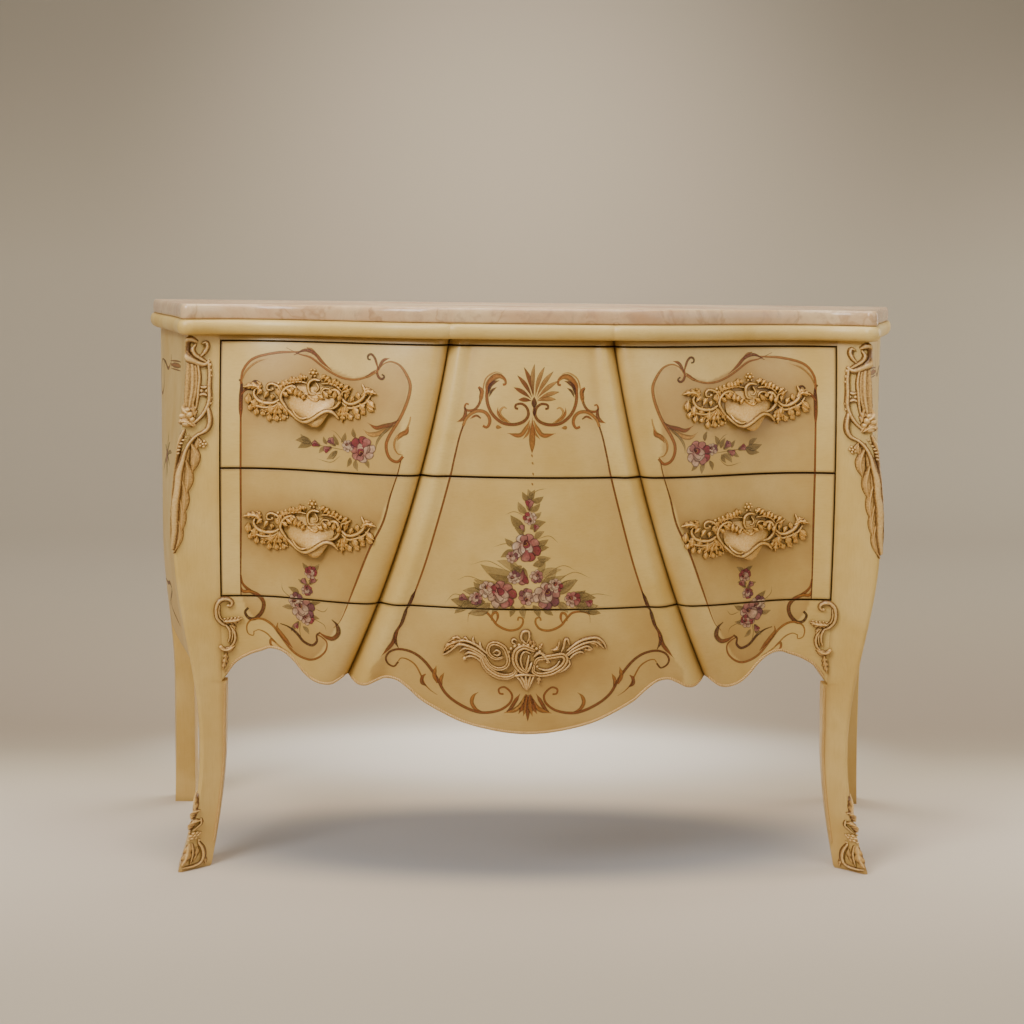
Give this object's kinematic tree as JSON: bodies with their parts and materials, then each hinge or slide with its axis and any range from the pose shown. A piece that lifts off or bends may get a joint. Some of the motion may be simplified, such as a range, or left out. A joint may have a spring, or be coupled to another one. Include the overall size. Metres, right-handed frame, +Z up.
{
  "type": "commode chest",
  "caption": "Painted commode chest: swelling serpentine front, sliding drawers with cast scroll pulls, scalloped apron, cabriole legs and a marble top on a moulded board.",
  "frame": {"origin": "on the floor, in the middle of the outline in plan", "axes": "+X to the right as seen from the front, +Y to the back, +Z up; the front faces -Y"},
  "size_m": [1.288, 0.5268, 0.88],
  "materials": {
    "painted_wood": "cream paint with an ochre glaze, satin varnish",
    "raw_wood": "unfinished, planed",
    "plywood": "unfinished, sanded",
    "marble": "polished",
    "gilt_ornament": "carved, painted cream gold with brown in the hollows",
    "gilt_casting": "cast, cream gold with brown in the hollows",
    "steel": "plain"
  },
  "bodies": {
    "carcass": {"left_front_leg": "painted_wood", "left_back_leg": "painted_wood", "left_side_panel": "painted_wood", "right_front_leg": "painted_wood", "right_back_leg": "painted_wood", "right_side_panel": "painted_wood", "moulded_top_board": "painted_wood", "marble_top": "marble", "front_apron": "painted_wood", "front_top_rail": "painted_wood", "middle_front_rail": "raw_wood", "lower_front_rail": "raw_wood", "middle_back_rail": "raw_wood", "lower_back_rail": "raw_wood", "back_panel": "plywood", "bottom_board": "plywood", "upper_left_runner": "raw_wood", "upper_right_runner": "raw_wood", "lower_left_runner": "raw_wood", "lower_right_runner": "raw_wood", "left_corner_mount": "gilt_ornament", "left_foot_mount": "gilt_ornament", "left_apron_scroll": "gilt_ornament", "left_leg_bead": "gilt_ornament", "right_corner_mount": "gilt_ornament", "right_foot_mount": "gilt_ornament", "right_apron_scroll": "gilt_ornament", "right_leg_bead": "gilt_ornament", "centre_apron_mount": "gilt_casting", "left_apron_bead": "gilt_ornament", "centre_apron_bead": "gilt_ornament", "right_apron_bead": "gilt_ornament"},
    "upper_drawer": {"upper_left_pull_outer_nut": "steel", "upper_left_pull_inner_nut": "steel", "upper_left_pull": "gilt_casting", "upper_drawer_left_side": "raw_wood", "upper_right_pull_outer_nut": "steel", "upper_right_pull_inner_nut": "steel", "upper_right_pull": "gilt_casting", "upper_drawer_right_side": "raw_wood", "upper_drawer_front": "painted_wood", "upper_drawer_back": "raw_wood", "upper_drawer_bottom": "plywood"},
    "lower_drawer": {"lower_left_pull_outer_nut": "steel", "lower_left_pull_inner_nut": "steel", "lower_left_pull": "gilt_casting", "lower_drawer_left_side": "raw_wood", "lower_right_pull_outer_nut": "steel", "lower_right_pull_inner_nut": "steel", "lower_right_pull": "gilt_casting", "lower_drawer_right_side": "raw_wood", "lower_drawer_front": "painted_wood", "lower_drawer_back": "raw_wood", "lower_drawer_bottom": "plywood"}
  },
  "joints": [
    {"name": "upper_drawer_slide", "type": "slide", "parent": "carcass", "child": "upper_drawer", "axis": [0, -1, 0], "range_m": [0, 0.24]},
    {"name": "lower_drawer_slide", "type": "slide", "parent": "carcass", "child": "lower_drawer", "axis": [0, -1, 0], "range_m": [0, 0.24]}
  ]
}
